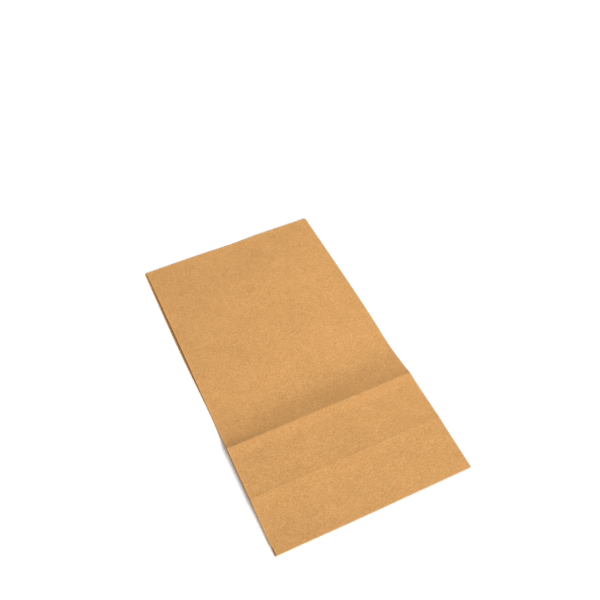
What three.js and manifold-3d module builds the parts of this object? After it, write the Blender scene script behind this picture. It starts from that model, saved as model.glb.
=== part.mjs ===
import * as THREE from "three";
import { mergeVertices } from "three/addons/utils/BufferGeometryUtils.js";
import Module from "manifold-3d";

const wasm = await Module();
wasm.setup();

// A flat-bottomed paper bag, folded flat and lying with its smooth panel up.
// Millimetres: X runs across the bag, Y from the closed end to the mouth, Z up.
const width = 109.5; // across the flat bag
const length = 200; // from the closed end to the tips of the mouth's teeth
const gusset = 63.2; // full depth of a side gusset, and so of the bottom
const paper = 0.1; // thickness of the sheet
const layer = 0.45; // from the middle of one folded layer to the middle of the next
const flapLap = 20; // overlap of the two glued bottom flaps
const seamLap = 12; // overlap of the glued seam along the under panel
const dip = 26; // length over which the panels come down from the folded bottom
const dipSteps = 6; // straight lengths in that curve
const toothPitch = 2; // pinked edge of the mouth
const toothDepth = 0.7;
const foldSteps = 6; // facets around half a turn of the sheet
const overlap = 0.2; // how far a glued ply runs past the start of a fold

const half = width / 2;
const crease = gusset / 2; // from a side edge to the gusset's middle crease
const flap = (gusset + flapLap) / 2; // length of each bottom flap
const bend = layer / 2; // radius of a fold between neighbouring layers
const inset = bend + paper / 2; // from a side edge to where its fold starts
const foldClear = 2 * inset; // room in front of a fold for the fold that wraps it
const edge = half - inset; // where the flat of a panel ends at each side
const quarter = Math.PI / 2;

// The bottom is three glued plies: the outer flap, the inner flap and the end flaps.
const outerPly = paper / 2;
const innerPly = outerPly + paper;
const endPly = innerPly + paper;

// Middles of the folded layers above the bottom.
const cornerZ = endPly + layer; // ears folded in from the bottom's ends
const tuckZ = cornerZ + layer; // halves of the ears folded back over them
const stripZ = tuckZ + layer; // strip of the under panel, folded onto the bottom
const underZ = stripZ + layer; // under panel
const lowerGussetZ = underZ + layer;
const upperGussetZ = lowerGussetZ + layer;
const endZ = cornerZ + 2 * layer; // smooth panel where it turns into the bottom

const endBend = (endZ - outerPly) / 2; // fold between the smooth panel and the bottom
const stripBend = (stripZ - innerPly) / 2; // fold between the bottom and the strip
const endStart = endBend + paper / 2;
const stripEnd = gusset - stripBend - paper / 2;
const tubeStart = crease + inset;
const wrapStart = crease - foldClear; // fold that wraps the strip's fold at each side

function solid(geometry) {
  geometry.deleteAttribute("normal");
  geometry.deleteAttribute("uv");
  const merged = mergeVertices(geometry);
  const vertProperties = Float32Array.from(merged.attributes.position.array);
  const triVerts = Uint32Array.from(merged.index.array);
  return new wasm.Manifold(new wasm.Mesh({ numProp: 3, vertProperties, triVerts }));
}

function place(geometry, move) {
  const { position } = geometry.attributes;
  const corner = new THREE.Vector3();
  for (let index = 0; index < position.count; index += 1) {
    corner.fromBufferAttribute(position, index);
    position.setXYZ(index, ...move(corner));
  }
  return solid(geometry);
}

// A turn of the sheet's middle line, each point with the direction to its left.
function turn(middle, height, radius, from, to) {
  const side = Math.sign(from - to);
  return Array.from({ length: foldSteps + 1 }, (_, step) => {
    const angle = from + ((to - from) * step) / foldSteps;
    const out = new THREE.Vector2(Math.cos(angle), Math.sin(angle));
    const point = new THREE.Vector2(middle, height).addScaledVector(out, radius);
    return { point, left: out.multiplyScalar(side) };
  });
}

function beside(path, distance) {
  return path.map(({ point, left }) => point.clone().addScaledVector(left, distance));
}

// The section of a sheet whose middle line is an open path.
function sheet(path) {
  return new THREE.Shape([
    ...beside(path, paper / 2),
    ...beside(path, -paper / 2).reverse(),
  ]);
}

// A section in X and Z carried along Y, from the mouth's side to the closed end's.
function along(section, stations) {
  const steps = stations.length - 1;
  const options = { depth: steps, steps, bevelEnabled: false };
  return place(new THREE.ExtrudeGeometry(section, options), ({ x, y, z }) => {
    const station = stations[Math.round(z)];
    return [x, station.at, y + station.lift];
  });
}

// A section in Y and Z carried along X.
function across(section, from, to) {
  const options = { depth: to - from, bevelEnabled: false };
  return place(new THREE.ExtrudeGeometry(section, options), ({ x, y, z }) => [z + from, x, y]);
}

// An outline in X and Y carried up, between heights that may follow Y.
function upright(outline, low, high) {
  const options = { depth: 1, bevelEnabled: false };
  return place(new THREE.ExtrudeGeometry(new THREE.Shape(outline), options), ({ x, y, z }) => [
    x,
    y,
    low(y) + z * (high(y) - low(y)),
  ]);
}

const at = (height) => () => height;

function ply(outline, middle) {
  return upright(outline, at(middle - paper / 2), at(middle + paper / 2));
}

function plan(side, corners) {
  return corners.map(([fromEdge, y]) => new THREE.Vector2(side * (half - fromEdge), y));
}

function rectangle(side, edgeFrom, edgeTo, from, to) {
  return plan(side, [
    [edgeFrom, from],
    [edgeTo, from],
    [edgeTo, to],
    [edgeFrom, to],
  ]);
}

// A strip of the sheet's thickness along a line at 45 degrees to the side edge.
function diagonal(side, start, end) {
  const slip = paper / Math.SQRT2;
  return plan(side, [
    [start[0] - slip, start[1]],
    [start[0] + slip, start[1]],
    [end[0] + slip, end[1]],
    [end[0] - slip, end[1]],
  ]);
}

// The fold along a side edge, between a layer and the one above it.
function sideFold(side, low, from, to) {
  const first = -side * quarter;
  const fold = turn(side * edge, low + bend, bend, first, first + Math.PI);
  const stations = [
    { at: to, lift: 0 },
    { at: from, lift: 0 },
  ];
  return along(sheet(fold), stations);
}

// The closed side of a rounded fold, seen along X.
function roundEnd(middle, height, radius, from, to) {
  const outer = turn(middle, height, radius + paper / 2, from, to);
  return new THREE.Shape(outer.map(({ point }) => point));
}

// The tube: both panels, with the gussets folded in between them at each side.
const creaseEdge = half - crease + inset;
const tubePath = [
  ...turn(edge, bend, bend, -quarter, quarter),
  ...turn(creaseEdge, layer + bend, bend, -quarter, -3 * quarter),
  ...turn(edge, 2 * layer + bend, bend, -quarter, quarter),
  ...turn(-edge, 2 * layer + bend, bend, quarter, 3 * quarter),
  ...turn(-creaseEdge, layer + bend, bend, quarter, -quarter),
  ...turn(-edge, bend, bend, quarter, 3 * quarter),
];
const tubeSection = new THREE.Shape(beside(tubePath, -paper / 2));
tubeSection.holes.push(new THREE.Path(beside(tubePath, paper / 2)));

// The under panel lies on the surface, and climbs onto the folded bottom near the closed end.
const drop = underZ - outerPly;
const climb = Array.from({ length: dipSteps + 1 }, (_, step) => {
  const share = 1 - step / dipSteps;
  return { at: gusset + dip * share, lift: outerPly + drop * (1 - share) ** 2 };
});
const tubeStations = [
  { at: length, lift: outerPly },
  ...climb,
  { at: tubeStart, lift: underZ },
];
const tube = along(tubeSection, tubeStations);

// The seam's second ply, on the inner face of the under panel.
const seamSection = new THREE.Shape([
  new THREE.Vector2(-seamLap / 2, 0),
  new THREE.Vector2(seamLap / 2, 0),
  new THREE.Vector2(seamLap / 2, 1.5 * paper),
  new THREE.Vector2(-seamLap / 2, 1.5 * paper),
]);
const seam = along(seamSection, tubeStations);

// The closed end: the smooth panel slopes down to the bottom over the upper gusset halves.
const endSlope = (upperGussetZ + layer - endZ) / (tubeStart - endStart);
const gussetRise = (y) => endZ - layer + endSlope * (y - endStart);
const level = new THREE.Vector2(0, 1);
const endPath = [
  { point: new THREE.Vector2(half - crease, 0), left: level },
  ...turn(edge, bend, bend, -quarter, quarter),
  ...turn(-edge, bend, bend, quarter, 3 * quarter),
  { point: new THREE.Vector2(crease - half, 0), left: level },
];
const endStations = [
  { at: tubeStart, lift: upperGussetZ },
  { at: endStart, lift: endZ - layer },
];
const endFold = turn(endStart, outerPly + endBend, endBend, quarter, 3 * quarter);
const stripFolds = [
  ...turn(tubeStart, stripZ + bend, bend, quarter, 3 * quarter),
  ...turn(stripEnd, innerPly + stripBend, stripBend, quarter, -quarter),
];

let end = along(sheet(endPath), endStations);
const endEdge = half - endStart;
const pieces = [tube, seam];
pieces.push(across(sheet(endFold), -endEdge, endEdge), across(sheet(stripFolds), -edge, edge));

for (const side of [-1, 1]) {
  const apex = [crease, crease];
  const nearTip = [inset, inset];
  const farTip = [inset, gusset - inset];

  // The upper gusset half stops at the diagonal crease from the bag's corner.
  const pastCrease = crease + inset;
  const beyondCrease = plan(side, [nearTip, [pastCrease, inset], [pastCrease, pastCrease]]);
  const belowPanel = (y) => gussetRise(y) + bend;
  const belowGusset = (y) => gussetRise(y) - bend;
  end = end.subtract(upright(beyondCrease, belowGusset, belowPanel));

  // An ear lies on the bottom, its farther half folded back over itself.
  const ear = ply(plan(side, [nearTip, farTip, apex]), cornerZ);
  const tuck = ply(plan(side, [farTip, apex, [crease, wrapStart], [inset, wrapStart]]), tuckZ);
  const nearDiagonal = upright(diagonal(side, nearTip, apex), at(cornerZ), gussetRise);
  const farDiagonal = upright(diagonal(side, farTip, apex), at(cornerZ), at(tuckZ));

  // The tuck turns up into the lower gusset half, around the strip's fold.
  const wrapLine = rectangle(side, 0, crease, wrapStart - paper / 2, wrapStart + paper / 2);
  const wrap = upright(wrapLine, at(tuckZ), at(lowerGussetZ));
  const gussetEnd = ply(rectangle(side, inset, crease, wrapStart, tubeStart), lowerGussetZ);
  const wrapEdge = rectangle(side, 0, inset, wrapStart, tubeStart);
  const wrapSide = upright(wrapEdge, at(tuckZ), at(lowerGussetZ));
  const creaseLine = rectangle(side, crease - paper, crease, wrapStart, tubeStart);
  const creaseEnd = upright(creaseLine, at(lowerGussetZ), gussetRise);

  // Corners where the folds across the bag meet the folds along its sides.
  const nearRound = roundEnd(endStart, outerPly + endBend, endBend, quarter, 3 * quarter);
  const farRound = roundEnd(stripEnd, innerPly + stripBend, stripBend, quarter, -quarter);
  const nearCorner = across(nearRound, ...[side * half, side * endEdge].sort((a, b) => a - b));
  const farCorner = across(farRound, ...[side * half, side * edge].sort((a, b) => a - b));

  pieces.push(ear, tuck, nearDiagonal, farDiagonal, wrap, gussetEnd, wrapSide, creaseEnd);
  pieces.push(nearCorner, farCorner);
  pieces.push(sideFold(side, endPly, endStart, stripEnd));
  pieces.push(sideFold(side, tuckZ, tubeStart, stripEnd));

  // Glued plies of the bottom: an end flap, and the corner folded in under the outer flap.
  pieces.push(ply(rectangle(side, inset, flap, endStart, stripEnd + overlap), endPly));
  const innerCorner = plan(side, [[endStart - overlap, endStart], [flap, endStart], [flap, flap]]);
  pieces.push(ply(innerCorner, innerPly));
}

// Each bottom flap narrows at 45 degrees from its fold to its cut edge.
function bottomFlap(fold, turned, middle) {
  const cut = turned ? gusset - flap : flap;
  const shoulder = (turned ? gusset - fold : fold) - overlap;
  const outline = [
    new THREE.Vector2(-half + shoulder, fold),
    new THREE.Vector2(half - shoulder, fold),
    new THREE.Vector2(half - flap, cut),
    new THREE.Vector2(flap - half, cut),
  ];
  return ply(outline, middle);
}
pieces.push(bottomFlap(endStart, false, outerPly), bottomFlap(stripEnd, true, innerPly));

// The mouth is cut with a row of teeth through every layer at once.
const teeth = Math.round(width / toothPitch);
const pitch = width / teeth;
const cutLine = [
  new THREE.Vector2(half + pitch, length + pitch),
  new THREE.Vector2(-half - pitch, length + pitch),
];
for (let tooth = -1; tooth <= teeth; tooth += 1) {
  cutLine.push(new THREE.Vector2(-half + tooth * pitch, length - toothDepth));
  cutLine.push(new THREE.Vector2(-half + (tooth + 0.5) * pitch, length));
}
cutLine.push(new THREE.Vector2(half + pitch, length - toothDepth));
const mouthTop = outerPly + 4 * layer; // clear of every layer
const mouthCut = upright(cutLine, at(-layer), at(mouthTop));

const bag = pieces.reduce((whole, piece) => whole.add(piece), end).subtract(mouthCut);
const { vertProperties, triVerts } = bag.getMesh();
const geometry = new THREE.BufferGeometry();
geometry.setAttribute("position", new THREE.BufferAttribute(vertProperties, 3));
geometry.setIndex(new THREE.BufferAttribute(triVerts, 1));
geometry.translate(0, -length / 2, 0);
geometry.computeVertexNormals();

const kraft = new THREE.MeshStandardMaterial({ color: 0xd6a367, roughness: 0.9, metalness: 0 });
const paperBag = new THREE.Mesh(geometry, kraft);
paperBag.name = "paper_bag";

const group = new THREE.Group();
group.add(paperBag);

export default group;
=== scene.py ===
import math

import bmesh
import bpy
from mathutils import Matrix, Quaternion, Vector, noise


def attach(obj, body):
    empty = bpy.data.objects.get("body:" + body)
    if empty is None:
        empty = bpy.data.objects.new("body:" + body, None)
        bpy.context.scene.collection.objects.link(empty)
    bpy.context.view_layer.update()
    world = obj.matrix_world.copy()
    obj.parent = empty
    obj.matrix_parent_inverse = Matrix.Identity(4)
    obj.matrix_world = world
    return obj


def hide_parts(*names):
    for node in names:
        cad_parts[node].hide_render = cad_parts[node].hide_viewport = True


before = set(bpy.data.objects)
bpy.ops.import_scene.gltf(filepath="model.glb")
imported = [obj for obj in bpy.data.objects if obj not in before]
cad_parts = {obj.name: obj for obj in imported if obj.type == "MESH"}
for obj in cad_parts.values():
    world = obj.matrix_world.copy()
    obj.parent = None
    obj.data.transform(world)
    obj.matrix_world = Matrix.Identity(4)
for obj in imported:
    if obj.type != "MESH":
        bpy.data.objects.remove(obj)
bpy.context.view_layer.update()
scene = bpy.context.scene
scene.view_settings.view_transform = "Standard"
millimetre = 0.001


viewPoint = {
    "turn": -23.62,  # degrees to the right of the closed end
    "rise": 50.79,  # degrees above the floor
    "roll": -1.72,
    "distance": 0.47853,
    "target": (0.02274, 0.0393, 0.0),
    "lens": 47.492,
    "sensor": 36.0,
    "clipStart": 0.01,
}


def wayTo(placed):  # from the bag towards the camera or a lamp
    turn, rise = math.radians(placed["turn"]), math.radians(placed["rise"])
    flat = math.cos(rise)
    return Vector((math.sin(turn) * flat, -math.cos(turn) * flat, math.sin(rise)))


def setCamera(view):
    back = wayTo(view)
    data = bpy.data.cameras.new("bag_camera")
    data.lens = view["lens"]
    data.sensor_width = view["sensor"]
    data.clip_start = view["clipStart"]
    camera = bpy.data.objects.new("bag_camera", data)
    camera.rotation_mode = "QUATERNION"
    rolled = Quaternion(back, math.radians(view["roll"]))
    camera.rotation_quaternion = rolled @ back.to_track_quat("Z", "Y")
    camera.location = Vector(view["target"]) + back * view["distance"]
    scene.collection.objects.link(camera)
    scene.camera = camera


setCamera(viewPoint)
print("camera set")


# millimetres: x across, y from the closed end to the mouth, z up from the floor
sheet = {
    "width": 109.5,
    "length": 200.0,
    "gusset": 63.2,  # depth of the bottom and of an opened side
    "paper": 0.12,
    "layer": 0.45,  # spacing of the four layers before they settle
    "flapLap": 20.0,
    "seamLap": 12,  # this and the next three are in half teeth
    "seamRamp": 2,
    "seamReach": 12,
    "gussetTeeth": 30,
    "seamLift": 0.13,
    "teeth": 55,
    "toothDepth": 0.75,
    "cornerStep": {"in": 0.5, "end": 5.2, "run": 0.8},  # the left edge steps in at its corner
    "underPeek": {"out": 0.9, "start": 80, "run": 60},  # under panel shows past the left edge
    "leftRim": 1.0,  # width of the edge that those two move
    "foldSteps": 6,
    "coarseRow": 3.2,
    "fineRow": 0.22,
    "rowGrowth": 0.24,
    "sharpAngle": 40,  # degrees
}
halfWidth = sheet["width"] / 2
foldRadius = sheet["layer"] / 2
flatEdge = halfWidth - foldRadius  # where a panel's side fold starts
middleCrease = halfWidth - sheet["gusset"] / 2  # x of the crease inside each gusset
toothStep = sheet["width"] / sheet["teeth"] / 2
halfDepth = sheet["gusset"] / 2
flapLength = (sheet["gusset"] + sheet["flapLap"]) / 2
panelLift = 3 * sheet["layer"]  # smooth panel above the under panel before settling
hair = 1e-4  # heights closer than this are the same

# y of the lines across the smooth panel, and its heights once settled:
# (y, height, slope before, slope after)
frontLine, flapLine, bandLine, ridgeLine, mouthLine = 0.3, 32.1, 56.6, 62.85, sheet["length"]
panelFall = {
    "left": [
        (frontLine, 1.66, -0.05, -0.05),
        (10.0, 1.42, 0.0, 0.0),
        (24.0, 2.02, 0.06, 0.06),
        (flapLine, 2.80, 0.08, -0.20),
        (34.6, 2.64, -0.012, -0.012),
        (bandLine, 2.84, 0.0, 0.08),
        (ridgeLine, 3.46, 0.075, -0.42),
        (66.0, 2.36, -0.29, -0.29),
        (70.0, 1.55, -0.16, -0.16),
        (78.0, 0.74, -0.065, -0.065),
        (85.0, 0.54, 0.0, 0.0),
        (97.0, 0.80, 0.038, 0.038),
        (115.0, 1.52, 0.036, 0.036),
        (130.0, 1.92, 0.016, 0.016),
        (150.0, 2.06, 0.0, 0.0),
        (175.0, 1.72, -0.020, -0.020),
        (mouthLine, 0.90, -0.034, -0.034),
    ],
    "right": [
        (frontLine, 1.15, 0.045, 0.045),
        (20.0, 2.06, 0.045, 0.045),
        (flapLine, 2.98, 0.085, -0.13),
        (34.6, 2.86, -0.008, -0.008),
        (bandLine, 2.98, -0.004, 0.10),
        (ridgeLine, 3.68, 0.085, -0.27),
        (66.2, 2.80, -0.24, -0.24),
        (70.0, 2.06, -0.150, -0.150),
        (82.0, 0.66, -0.100, -0.100),
        (88.0, 0.52, 0.03, 0.03),
        (97.0, 1.12, 0.105, 0.105),
        (108.0, 2.02, 0.055, 0.055),
        (125.0, 2.48, 0.0, 0.0),
        (150.0, 2.30, -0.015, -0.015),
        (175.0, 1.86, -0.022, -0.022),
        (mouthLine, 1.15, -0.032, -0.032),
    ],
    "middle": [
        (frontLine, 0.85, 0.055, 0.055),
        (20.0, 1.88, 0.052, 0.052),
        (flapLine, 2.80, 0.088, -0.15),
        (34.6, 2.70, -0.008, -0.008),
        (bandLine, 2.84, -0.006, 0.10),
        (ridgeLine, 3.52, 0.095, -0.24),
        (73.5, 1.05, -0.225, -0.225),
        (82.5, 0.21, 0.0, 0.0),
        (97.0, 0.85, 0.078, 0.078),
        (120.0, 2.00, 0.030, 0.030),
        (148.0, 2.58, 0.014, 0.014),
        (167.0, 2.42, -0.030, -0.030),
        (186.0, 1.64, -0.050, -0.050),
        (mouthLine, 1.16, -0.022, -0.022),
    ],
    "rightOfMiddle": [
        (frontLine, 0.98, 0.055, 0.055),
        (20.0, 2.04, 0.052, 0.052),
        (flapLine, 3.00, 0.088, -0.15),
        (34.6, 2.90, -0.008, -0.008),
        (bandLine, 3.04, -0.006, 0.10),
        (ridgeLine, 3.76, 0.095, -0.245),
        (75.0, 1.02, -0.215, -0.215),
        (84.5, 0.21, 0.0, 0.0),
        (92.0, 0.60, 0.095, 0.095),
        (100.0, 1.32, 0.080, 0.080),
        (120.0, 2.42, 0.038, 0.038),
        (148.0, 2.85, 0.004, 0.004),
        (167.0, 2.70, -0.018, -0.018),
        (186.0, 1.98, -0.052, -0.052),
        (mouthLine, 1.38, -0.032, -0.032),
    ],
}
panelMarks = {
    "left": (8, 46),  # where each profile starts across the panel, and how far it blends
    "right": (26, 28),
    "rightOfMiddle": (4, 18),
    "buckle": {"height": 0.09, "y": 73.6, "slant": 0.06, "spread": 1.4, "across": (34, 18)},
    "dent": {"depth": 0.52, "run": (165, 28), "lift": 0.12, "liftRun": (192, 8),
             "x": 1, "spread": 13},
    "wave": {"height": 0.16, "size": 36, "seed": 3.1, "margin": 12},
    "ripple": {"height": 0.018, "size": 6.5, "seed": 8.4},
    "springUp": {"height": 0.10, "run": 1.6},  # the folded edges spring up
}
underPanel = {"rest": 0.06, "onBottom": 2.05, "climb": 19.0, "belowSmooth": 0.72}


def eased(share):
    share = min(max(share, 0.0), 1.0)
    return share * share * (3 - 2 * share)


def ramp(value, start, run):
    return eased((value - start) / run)


def bump(value, middle, spread):
    return math.exp(-((value - middle) / spread) ** 2)


def alongKnots(knots, y):
    y = min(max(y, knots[0][0]), knots[-1][0])
    for (y0, z0, _, out0), (y1, z1, in1, _) in zip(knots, knots[1:]):
        if y <= y1:
            span = y1 - y0
            t = (y - y0) / span
            return (z0 * (1 + 2 * t) * (1 - t) ** 2 + z1 * t * t * (3 - 2 * t)
                    + out0 * span * t * (1 - t) ** 2 - in1 * span * t * t * (1 - t))
    return knots[-1][1]


def unevenness(mark, x, y):
    return mark["height"] * noise.noise((x / mark["size"], y / mark["size"], mark["seed"]))


def smoothPanelHeight(x, y):
    left = ramp(-x, *panelMarks["left"])
    right = ramp(x, *panelMarks["right"])
    middle = (1 - left - right) * (1 - ramp(x, *panelMarks["rightOfMiddle"]))
    shares = {"left": left, "right": right, "middle": middle,
              "rightOfMiddle": 1 - left - right - middle}
    height = sum(share * alongKnots(panelFall[name], y) for name, share in shares.items())
    buckle = panelMarks["buckle"]  # a short fold at the right
    line = buckle["y"] - buckle["slant"] * (halfWidth - x)
    height += buckle["height"] * bump(y, line, buckle["spread"]) * ramp(x, *buckle["across"])
    dent = panelMarks["dent"]  # soft, before the mouth
    depth = dent["depth"] * ramp(y, *dent["run"]) - dent["lift"] * ramp(y, *dent["liftRun"])
    height -= depth * bump(x, dent["x"], dent["spread"])
    inside = eased((halfWidth - abs(x)) / panelMarks["wave"]["margin"])
    height += inside * unevenness(panelMarks["wave"], x, y)
    height += unevenness(panelMarks["ripple"], x, y)
    spring = panelMarks["springUp"]
    return height + spring["height"] * ramp(abs(x), halfWidth - spring["run"], spring["run"])


def underPanelHeight(x, y):
    crease = sheet["gusset"]
    if y < halfDepth:
        return smoothPanelHeight(x, y) - underPanel["belowSmooth"]
    if y < crease:
        return underPanel["onBottom"]
    share = max(0.0, 1 - (y - crease) / underPanel["climb"])
    return underPanel["rest"] + (underPanel["onBottom"] - underPanel["rest"]) * share ** 2


def penTo(bm, pen, x, z, steps=1):
    stride = Vector((x - pen.co.x, 0, z - pen.co.z)) / steps
    for _ in range(steps):
        made = bmesh.ops.extrude_vert_indiv(bm, verts=[pen])
        pen = made["verts"][0]
        bmesh.ops.translate(bm, verts=[pen], vec=stride)
    return pen


def penFold(bm, pen, x, z, turn):
    made = bmesh.ops.spin(bm, geom=[pen], cent=(x, pen.co.y, z), axis=(0, 1, 0), angle=turn,
                          steps=sheet["foldSteps"], use_duplicate=False)
    return next(item for item in made["geom_last"] if isinstance(item, bmesh.types.BMVert))


def drawGusset(bm, pen, side, upwards):
    layer = sheet["layer"]
    teeth = sheet["gussetTeeth"]
    firstTooth = side * (halfWidth - toothStep)
    creaseTooth = side * (halfWidth - (teeth + 1) * toothStep)
    creaseFold = side * (middleCrease + foldRadius)
    levels = [0, 1, 2, 3] if upwards else [3, 2, 1, 0]
    way = 1 if upwards else -1
    turn = -side * way * math.pi
    pen = penTo(bm, pen, side * flatEdge, levels[0] * layer)
    pen = penFold(bm, pen, side * flatEdge, (levels[0] + way * 0.5) * layer, turn)
    pen = penTo(bm, pen, firstTooth, levels[1] * layer)
    pen = penTo(bm, pen, creaseTooth, levels[1] * layer, teeth)
    pen = penTo(bm, pen, creaseFold, levels[1] * layer)
    pen = penFold(bm, pen, creaseFold, (levels[1] + way * 0.5) * layer, -turn)
    pen = penTo(bm, pen, creaseTooth, levels[2] * layer)
    pen = penTo(bm, pen, firstTooth, levels[2] * layer, teeth)
    pen = penTo(bm, pen, side * flatEdge, levels[2] * layer)
    pen = penFold(bm, pen, side * flatEdge, (levels[2] + way * 0.5) * layer, turn)
    return penTo(bm, pen, firstTooth, levels[3] * layer)


def drawTubeSection(bm):
    lap = sheet["seamLap"] // 2
    teeth, seamRamp, seamLift = sheet["teeth"], sheet["seamRamp"], sheet["seamLift"]
    pen = bm.verts.new((lap * toothStep, halfDepth, seamLift))
    pen = penTo(bm, pen, -lap * toothStep, seamLift, sheet["seamLap"])
    pen = penTo(bm, pen, -(lap + seamRamp) * toothStep, 0, seamRamp)
    pen = penTo(bm, pen, -halfWidth + toothStep, 0, teeth - 1 - lap - seamRamp)
    pen = drawGusset(bm, pen, -1, True)
    pen = penTo(bm, pen, halfWidth - toothStep, panelLift, 2 * teeth - 2)
    pen = drawGusset(bm, pen, 1, False)
    penTo(bm, pen, -lap * toothStep, 0, teeth - 1 + lap)


def rowsBetween(start, end, lines):  # close together near the lines
    rows, y, way = [], start, 1 if end > start else -1
    while True:
        nearest = min(abs(y - line) for line in lines)
        y += way * min(sheet["coarseRow"], sheet["fineRow"] + sheet["rowGrowth"] * nearest)
        if (end - y) * way < sheet["fineRow"]:
            return rows + [end]
        rows.append(y)


def evenRows(start, end, count):
    return [start + (end - start) * row / count for row in range(1, count + 1)]


def carry(bm, edges, move):
    made = bmesh.ops.extrude_edge_only(bm, edges=edges)["geom"]
    fresh = [item for item in made if isinstance(item, bmesh.types.BMVert)]
    for vert in fresh:
        move(vert)
    kept = set(fresh)
    return [item for item in made
            if isinstance(item, bmesh.types.BMEdge) and kept.issuperset(item.verts)]


def carryRows(bm, edges, rows):
    for y in rows:
        def toRow(vert):
            vert.co.y = y
        edges = carry(bm, edges, toRow)
    return edges


def lowest(edge):
    return min(vert.co.z for vert in edge.verts)


def highest(edge):
    return max(vert.co.z for vert in edge.verts)


def buildTube(bm):
    drawTubeSection(bm)
    firstRow = list(bm.edges)
    layer = sheet["layer"]
    endEdges = [e for e in firstRow if lowest(e) > 1.9 * layer]  # smooth panel and upper gussets
    underEdges = [e for e in firstRow if highest(e) < 0.5 * layer
                  and lowest(e) < sheet["seamLift"] - hair]  # one ply at the lap
    stops = [flapLine, bandLine, ridgeLine, sheet["gusset"], mouthLine]
    creases = [halfDepth] + stops
    rows = []
    for start, stop in zip(creases, stops):
        rows += rowsBetween(start, stop, creases)
    carryRows(bm, firstRow, rows)
    endRow = carryRows(bm, endEdges, rowsBetween(halfDepth, frontLine, [halfDepth, frontLine]))
    panelEnd = [e for e in endRow if lowest(e) > 2.9 * layer]  # smooth panel alone
    return underEdges, panelEnd


def cutAlong(bm, faces, corner, outwards):
    geom = dict.fromkeys(faces)
    for face in faces:
        geom.update(dict.fromkeys([*face.verts, *face.edges]))
    bmesh.ops.bisect_plane(bm, geom=list(geom), dist=1e-5, plane_co=corner, plane_no=outwards,
                           clear_outer=True)


def levelAt(faces, height):
    return [f for f in faces if all(abs(v.co.z - height) < hair for v in f.verts)]


def cutGussetCorners(bm):
    for side in (-1, 1):
        faces = [f for f in levelAt(bm.faces, 2 * sheet["layer"])
                 if f.calc_center_median().y < halfDepth and side * f.calc_center_median().x > 0]
        cutAlong(bm, faces, (side * halfWidth, 0, 0), (-side, -1, 0))


# share of edge wear and painted highlight at the bag's edges, and how far it reaches
edgeWearAndHighlight = {
    "rim": 0.4,
    "rimRun": 0.9,
    "innerFolds": 0.5,
    "mouth": 0.5,
    "mouthRun": 1.5,
    "closedEnd": 0.25,
    "closedStart": 1.2,
    "closedRun": 1.0,
}


# lighter edges: partly real wear of the folds and the cut, partly a painted highlight where the
# edges catch light
def edgeWearAndHighlightAt(x, y, lift):
    if lift > 2.4 * sheet["layer"]:  # smooth panel
        rim = edgeWearAndHighlight["rim"] * ramp(abs(x), flatEdge - edgeWearAndHighlight["rimRun"], edgeWearAndHighlight["rimRun"])
    else:
        rim = edgeWearAndHighlight["innerFolds"] * (abs(x) > flatEdge)
    mouth = edgeWearAndHighlight["mouth"] * ramp(y, mouthLine - edgeWearAndHighlight["mouthRun"], edgeWearAndHighlight["mouthRun"])
    closed = edgeWearAndHighlight["closedEnd"] * eased((edgeWearAndHighlight["closedStart"] - y) / edgeWearAndHighlight["closedRun"])
    return max(rim, mouth, closed)


def toothAt(x):
    phase = (x + halfWidth) / (2 * toothStep)
    return abs(2 * (phase - math.floor(phase)) - 1)


def settle(bm, wearAndHighlight):
    corner, peek = sheet["cornerStep"], sheet["underPeek"]
    for vert in bm.verts:
        x, y, lift = vert.co
        # marks the lighter edges, partly wear and partly painted highlight
        vert[wearAndHighlight] = edgeWearAndHighlightAt(x, y, lift)
        if y > mouthLine - hair:
            vert.co.y -= sheet["toothDepth"] * toothAt(x)
        under = underPanelHeight(x, y)
        if lift < sheet["seamLift"] + hair and abs(x) < sheet["seamReach"] * toothStep:
            vert.co.z = under + lift
        else:
            vert.co.z = under + (smoothPanelHeight(x, y) - under) * lift / panelLift
        if x < -flatEdge + sheet["leftRim"]:
            if y < halfDepth:
                vert.co.x += corner["in"] * eased((corner["end"] - y) / corner["run"])
            if lift < 1.2 * sheet["layer"]:
                vert.co.x -= peek["out"] * ramp(y, peek["start"], peek["run"])


# millimetres: heights of the bottom's layers, then its folds
bottom = {
    "outerFlap": 0.06,
    "innerFlap": 0.18,
    "endFlap": 0.30,
    "ear": 0.52,
    "tuck": 0.92,
    "strip": 1.50,
    "frontOut": 0.28,  # how far a fold stands out
    "underOut": 0.26,
    "farOut": 0.58,
    "frontTuck": 1.1,  # the outer flap starts this far back beneath the front
    "farIn": 0.6,  # from the crease to the far fold
    "nearIn": 0.7,
    "tuckIn": 2,
    "earRoom": 0.75,  # kept between an ear and the smooth panel
    "springStart": 1,
    "springRun": 6,
    "flapRows": 6,
    "stripRows": 5,
    "earRows": 12,
    "earSteps": 10,
}
farFold = sheet["gusset"] - bottom["farIn"]


def foldUnder(bm, edges, floorHeight, out, way, tuckIn=0.0):
    tops = {}
    for edge in edges:
        for vert in edge.verts:
            tops[round(vert.co.x, 4)] = vert.co.z
    startY = edges[0].verts[0].co.y
    for step in range(1, sheet["foldSteps"] + 1):
        angle = math.pi * step / sheet["foldSteps"]

        def around(vert):
            top = tops[round(vert.co.x, 4)]
            back = tuckIn * (1 - math.cos(angle)) / 2
            vert.co.y = startY + way * (out * math.sin(angle) - back)
            vert.co.z = floorHeight + (top - floorHeight) * (1 + math.cos(angle)) / 2
        edges = carry(bm, edges, around)
    return edges


def madeSince(bm, before):
    return [f for f in bm.faces if f not in before]


def buildFlap(bm, edges, rows, cornerY, way):  # its corners are cut at 45 degrees
    before = set(bm.faces)
    carryRows(bm, edges, rows)
    for side in (-1, 1):
        cutAlong(bm, madeSince(bm, before), (side * halfWidth, cornerY, 0), (side, way, 0))


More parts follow.
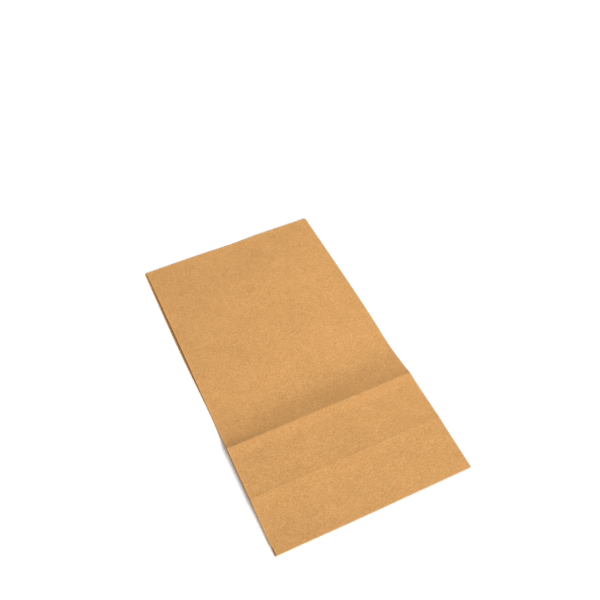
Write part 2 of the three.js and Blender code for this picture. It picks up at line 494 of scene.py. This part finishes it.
def buildBottom(bm, wearAndHighlight, underEdges, panelEnd):
    edges = foldUnder(bm, panelEnd, bottom["outerFlap"], bottom["frontOut"], -1,
                      bottom["frontTuck"])
    for edge in edges:
        # no wear or painted highlight on the outer flap
        for vert in edge.verts:
            vert[wearAndHighlight] = 0
    flapStart = frontLine + bottom["frontTuck"]
    buildFlap(bm, edges, evenRows(flapStart, flapLength, bottom["flapRows"]), 0, 1)

    edges = foldUnder(bm, underEdges, bottom["strip"], bottom["underOut"], -1)
    edges = carryRows(bm, edges, evenRows(halfDepth, farFold, bottom["stripRows"]))
    edges = foldUnder(bm, edges, bottom["innerFlap"], bottom["farOut"], 1)
    flapEnd = sheet["gusset"] - flapLength
    buildFlap(bm, edges, evenRows(farFold, flapEnd, bottom["flapRows"]), sheet["gusset"], -1)


def buildSideFold(bm, side, inner, outer, low, high, start):
    edgesBefore = set(bm.edges)
    pen = bm.verts.new((side * inner, start, low))
    pen = penTo(bm, pen, side * flatEdge, low, bottom["earSteps"])
    pen = penFold(bm, pen, side * flatEdge, (low + high) / 2, -side * math.pi)
    penTo(bm, pen, side * outer, high, bottom["earSteps"])
    drawn = [e for e in bm.edges if e not in edgesBefore]
    before = set(bm.faces)
    carryRows(bm, drawn, evenRows(start, farFold, bottom["earRows"]))
    return before


def springEar(bm, before):
    low, high = bottom["endFlap"], bottom["ear"]
    for vert in {v for f in madeSince(bm, before) for v in f.verts}:
        x, y, z = vert.co
        room = smoothPanelHeight(x, y) - bottom["earRoom"] - high
        share = eased((halfDepth - bottom["springStart"] - y) / bottom["springRun"])
        vert.co.z += room * (z - low) / (high - low) * share


def buildEars(bm):
    for side in (-1, 1):
        before = buildSideFold(bm, side, halfWidth - flapLength, middleCrease,
                               bottom["endFlap"], bottom["ear"], bottom["nearIn"])
        for cornerY, way in ((0, 1), (sheet["gusset"], -1)):
            ear = levelAt(madeSince(bm, before), bottom["ear"])
            cutAlong(bm, ear, (side * halfWidth, cornerY, 0), (-side, -way, 0))
        springEar(bm, before)
        before = buildSideFold(bm, side, middleCrease, flatEdge - bottom["tuckIn"],
                               bottom["tuck"], bottom["strip"], halfDepth)
        tuck = levelAt(madeSince(bm, before), bottom["tuck"])
        cutAlong(bm, tuck, (side * halfWidth, sheet["gusset"], 0), (-side, 1, 0))


def buildBag():
    bm = bmesh.new()
    # per-corner share of the lighter edges: partly wear, partly painted highlight
    wearAndHighlight = bm.verts.layers.float.new("wearAndHighlight")
    underEdges, panelEnd = buildTube(bm)
    cutGussetCorners(bm)
    settle(bm, wearAndHighlight)
    print("tube folded:", len(bm.faces), "faces")
    buildBottom(bm, wearAndHighlight, underEdges, panelEnd)
    buildEars(bm)
    print("bottom folded:", len(bm.faces), "faces")
    loose = [v for v in bm.verts if not v.link_faces]
    bmesh.ops.delete(bm, geom=loose, context="VERTS")
    bmesh.ops.translate(bm, verts=bm.verts, vec=(0, -sheet["length"] / 2, 0))
    bmesh.ops.scale(bm, verts=bm.verts, vec=(millimetre,) * 3)
    bmesh.ops.recalc_face_normals(bm, faces=bm.faces)
    for face in bm.faces:
        face.smooth = True
    mesh = bpy.data.meshes.new("folded_bag")
    bm.to_mesh(mesh)
    bm.free()
    bag = bpy.data.objects.new("folded_bag", mesh)
    scene.collection.objects.link(bag)
    wall = bag.modifiers.new("paper", "SOLIDIFY")
    wall.thickness = sheet["paper"] * millimetre
    wall.offset = 0
    evaluated = bag.evaluated_get(bpy.context.evaluated_depsgraph_get())
    solid = bpy.data.meshes.new_from_object(evaluated)
    bag.modifiers.clear()
    bag.data = solid
    bpy.data.meshes.remove(mesh)
    solid.name = "folded_bag"
    solid.set_sharp_from_angle(angle=math.radians(sheet["sharpAngle"]))
    return bag


# each noise is scale, detail and roughness, and each range is what is spread over 0 to 1
kraft = {
    "shade": (0.556, 0.206, 0.030),
    "light": (0.800, 0.490, 0.206),
    "roughness": (0.78, 0.88),
    "specular": 0.25,
    "cloud": {"noise": (34, 2, 0.5), "range": (0.3, 0.7), "depth": 0.05},
    "mottle": {"noise": (170, 3, 0.6), "range": (0.3, 0.7), "depth": 0.08},
    "grain": {"noise": (1.0, 3, 0.8), "range": (0.25, 0.75), "stretch": (2200, 1050, 1700)},
    "fibre": {"noise": (1.0, 1, 0.5), "range": (0.62, 0.72), "across": (3600, 1200)},
    "strands": ((0.5, 400), (1.7, 440), (2.6, 480)),  # turn in radians, and stretch along the fibre
    "paleFibre": {"colour": (0.82, 0.50, 0.23), "share": 0.5, "raised": 0.6},
    "darkFibre": {"colour": (0.55, 0.235, 0.055), "share": 0.4},
    # lighter edges: partly real wear, partly a painted highlight
    "wearAndHighlight": {"colour": (0.880, 0.505, 0.215), "share": 0.9},
    "bump": {"Strength": 0.35, "Distance": 0.00008},
}
black = (0.0, 0.0, 0.0)


def feed(tree, socket, value):  # links an output, or sets a colour or a number
    if isinstance(value, bpy.types.NodeSocket):
        tree.links.new(value, socket)
    elif isinstance(value, tuple):
        socket.default_value = (*value, 1)
    else:
        socket.default_value = value


def mathOf(tree, kind, *values):
    node = tree.nodes.new("ShaderNodeMath")
    node.operation = kind
    for socket, value in zip(node.inputs, values):
        feed(tree, socket, value)
    return node.outputs["Value"]


def makeKraft():
    material = bpy.data.materials.new("kraft_paper")
    material.use_nodes = True
    tree = material.node_tree
    nodes, links = tree.nodes, tree.links
    shader = nodes["Principled BSDF"]
    shader.inputs["Specular IOR Level"].default_value = kraft["specular"]
    place = nodes.new("ShaderNodeTexCoord").outputs["Object"]

    def noiseOf(scale, detail, rough, stretch=None, turn=0.0):
        pattern = nodes.new("ShaderNodeTexNoise")
        pattern.inputs["Scale"].default_value = scale
        pattern.inputs["Detail"].default_value = detail
        pattern.inputs["Roughness"].default_value = rough
        where = place
        if stretch:
            mapping = nodes.new("ShaderNodeMapping")
            mapping.inputs["Scale"].default_value = stretch
            mapping.inputs["Rotation"].default_value = (0, 0, turn)
            links.new(place, mapping.inputs["Vector"])
            where = mapping.outputs["Vector"]
        links.new(where, pattern.inputs["Vector"])
        return pattern.outputs["Fac"]

    def spread(value, low, high, toLow=0.0, toHigh=1.0):
        ranged = nodes.new("ShaderNodeMapRange")
        sockets = ("From Min", "From Max", "To Min", "To Max")
        for socket, number in zip(sockets, (low, high, toLow, toHigh)):
            ranged.inputs[socket].default_value = number
        links.new(value, ranged.inputs["Value"])
        return ranged.outputs["Result"]

    def mixed(kind, factor, first, second):
        mix = nodes.new("ShaderNodeMix")
        mix.data_type = "RGBA"
        mix.blend_type = kind
        mix.clamp_result = False
        for socket, value in (("Factor", factor), ("A", first), ("B", second)):
            feed(tree, mix.inputs[socket], value)
        return mix.outputs["Result"]

    def laidOver(colour, mask, finish):
        share = mathOf(tree, "MULTIPLY", mask, finish["share"])
        return mixed("MIX", share, colour, finish["colour"])

    def patchy(name):
        return spread(noiseOf(*kraft[name]["noise"]), *kraft[name]["range"])

    def darkened(colour, patches, name):
        return mixed("MULTIPLY", spread(patches, 0, 1, 0.0, kraft[name]["depth"]), colour, black)

    cloud, mottle = patchy("cloud"), patchy("mottle")
    grain = noiseOf(*kraft["grain"]["noise"], kraft["grain"]["stretch"])
    colour = mixed("MIX", spread(grain, *kraft["grain"]["range"]), kraft["shade"], kraft["light"])
    colour = darkened(colour, mottle, "mottle")
    colour = darkened(colour, cloud, "cloud")
    fibre, fibres = kraft["fibre"], []
    for turn, along in kraft["strands"]:
        strand = noiseOf(*fibre["noise"], (along, *fibre["across"]), turn)
        fibres.append(spread(strand, *fibre["range"]))
    pale = mathOf(tree, "MAXIMUM", fibres[0], fibres[1])
    colour = laidOver(colour, pale, kraft["paleFibre"])
    colour = laidOver(colour, fibres[2], kraft["darkFibre"])
    # lightens the fold and cut edges: partly wear, partly a painted highlight where they catch
    # light
    wearAndHighlightAttribute = nodes.new("ShaderNodeAttribute")
    wearAndHighlightAttribute.attribute_name = "wearAndHighlight"
    colour = laidOver(colour, wearAndHighlightAttribute.outputs["Fac"], kraft["wearAndHighlight"])
    links.new(colour, shader.inputs["Base Color"])
    links.new(spread(mottle, 0, 1, *kraft["roughness"]), shader.inputs["Roughness"])

    raised = mathOf(tree, "MULTIPLY", pale, kraft["paleFibre"]["raised"])
    bumps = nodes.new("ShaderNodeBump")
    for socket, number in kraft["bump"].items():
        bumps.inputs[socket].default_value = number
    links.new(mathOf(tree, "ADD", grain, raised), bumps.inputs["Height"])
    links.new(bumps.outputs["Normal"], shader.inputs["Normal"])
    return material


bag = buildBag()
bag.data.materials.append(makeKraft())
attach(bag, "root")
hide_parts("paper_bag")
print("bag made:", len(bag.data.polygons), "faces")


studio = {
    "floorSize": 3.0,
    "floorGap": 0.02,  # millimetres beneath the bag
    "floorColour": 0.92,
    "floorRoughness": 0.9,
    "floorSeen": 1.10,  # brightness of the open floor to the camera
    "sky": 0.15,
    # turn and rise are as for the camera, and share is a lamp's part of the light on the panel
    "key": {"turn": 18.0, "rise": 34.0, "angle": 26.0, "distance": 1.0, "share": 0.585},
    "side": {"turn": 103.0, "rise": 60.0, "size": 0.3, "distance": 0.5, "share": 0.33},
}


def seenRays(tree):  # 1 for what the camera sees, also in gloss or through glass
    rays = tree.nodes.new("ShaderNodeLightPath")
    seen = rays.outputs["Is Camera Ray"]
    for kind in ("Is Glossy Ray", "Is Transmission Ray"):
        seen = mathOf(tree, "MAXIMUM", seen, rays.outputs[kind])
    return seen


def vectorOf(tree, kind, first, second=None):
    node = tree.nodes.new("ShaderNodeVectorMath")
    node.operation = kind
    tree.links.new(first, node.inputs[0])
    if second is not None:
        node.inputs[1].default_value = second
    return node.outputs["Vector" if kind == "SUBTRACT" else "Value"]


def evenLift(tree):  # the side lamp fades across the floor, and the lift evens that out
    side, level = studio["side"], studio["floorColour"]
    towards = wayTo(side)
    place = tree.nodes.new("ShaderNodeTexCoord").outputs["Object"]
    fromLamp = vectorOf(tree, "SUBTRACT", place, towards * side["distance"])
    ahead = vectorOf(tree, "DOT_PRODUCT", fromLamp, -towards / side["distance"])
    away = mathOf(tree, "DIVIDE", vectorOf(tree, "LENGTH", fromLamp), side["distance"])
    fade = mathOf(tree, "POWER", away, -4.0)  # by distance squared, and by both slants
    fade = mathOf(tree, "MULTIPLY", fade, mathOf(tree, "MAXIMUM", ahead, 0.0))
    steady = level * (studio["key"]["share"] + studio["sky"])
    lift = mathOf(tree, "MULTIPLY", fade, -level * side["share"])
    lift = mathOf(tree, "ADD", lift, studio["floorSeen"] - steady)
    return mathOf(tree, "MAXIMUM", lift, 0.0)


def makeFloor():
    bm = bmesh.new()
    bmesh.ops.create_grid(bm, x_segments=1, y_segments=1, size=studio["floorSize"])
    bmesh.ops.translate(bm, verts=bm.verts, vec=(0, 0, -studio["floorGap"] * millimetre))
    mesh = bpy.data.meshes.new("floor")
    bm.to_mesh(mesh)
    bm.free()
    floor = bpy.data.objects.new("floor", mesh)
    scene.collection.objects.link(floor)
    material = bpy.data.materials.new("pale_floor")
    material.use_nodes = True
    tree = material.node_tree
    shader = tree.nodes["Principled BSDF"]
    level = studio["floorColour"]
    shader.inputs["Base Color"].default_value = (level, level, level, 1)
    shader.inputs["Roughness"].default_value = studio["floorRoughness"]
    shader.inputs["Specular IOR Level"].default_value = 0.0
    shader.inputs["Emission Color"].default_value = (1, 1, 1, 1)
    lift = mathOf(tree, "MULTIPLY", seenRays(tree), evenLift(tree))
    tree.links.new(lift, shader.inputs["Emission Strength"])
    mesh.materials.append(material)


def setLamp(name, kind, lamp):
    towards = wayTo(lamp)
    data = bpy.data.lights.new(name, kind)
    data.energy = lamp["share"] * math.pi / towards.z
    if kind == "SUN":
        data.angle = math.radians(lamp["angle"])
    else:
        data.shape = "DISK"
        data.size = lamp["size"]
        data.energy *= math.pi * lamp["distance"] ** 2
    holder = bpy.data.objects.new(name, data)
    holder.location = towards * lamp["distance"]
    holder.rotation_euler = towards.to_track_quat("Z", "Y").to_euler()
    scene.collection.objects.link(holder)


def setLights():
    setLamp("key_light", "SUN", studio["key"])
    setLamp("side_softbox", "AREA", studio["side"])
    world = bpy.data.worlds.new("studio")
    world.use_nodes = True
    tree = world.node_tree
    sky = tree.nodes["Background"]
    sky.inputs["Color"].default_value = (1, 1, 1, 1)
    level = mathOf(tree, "MULTIPLY_ADD", seenRays(tree), 1 - studio["sky"], studio["sky"])
    tree.links.new(level, sky.inputs["Strength"])
    scene.world = world


makeFloor()
setLights()
print("floor and lights set")
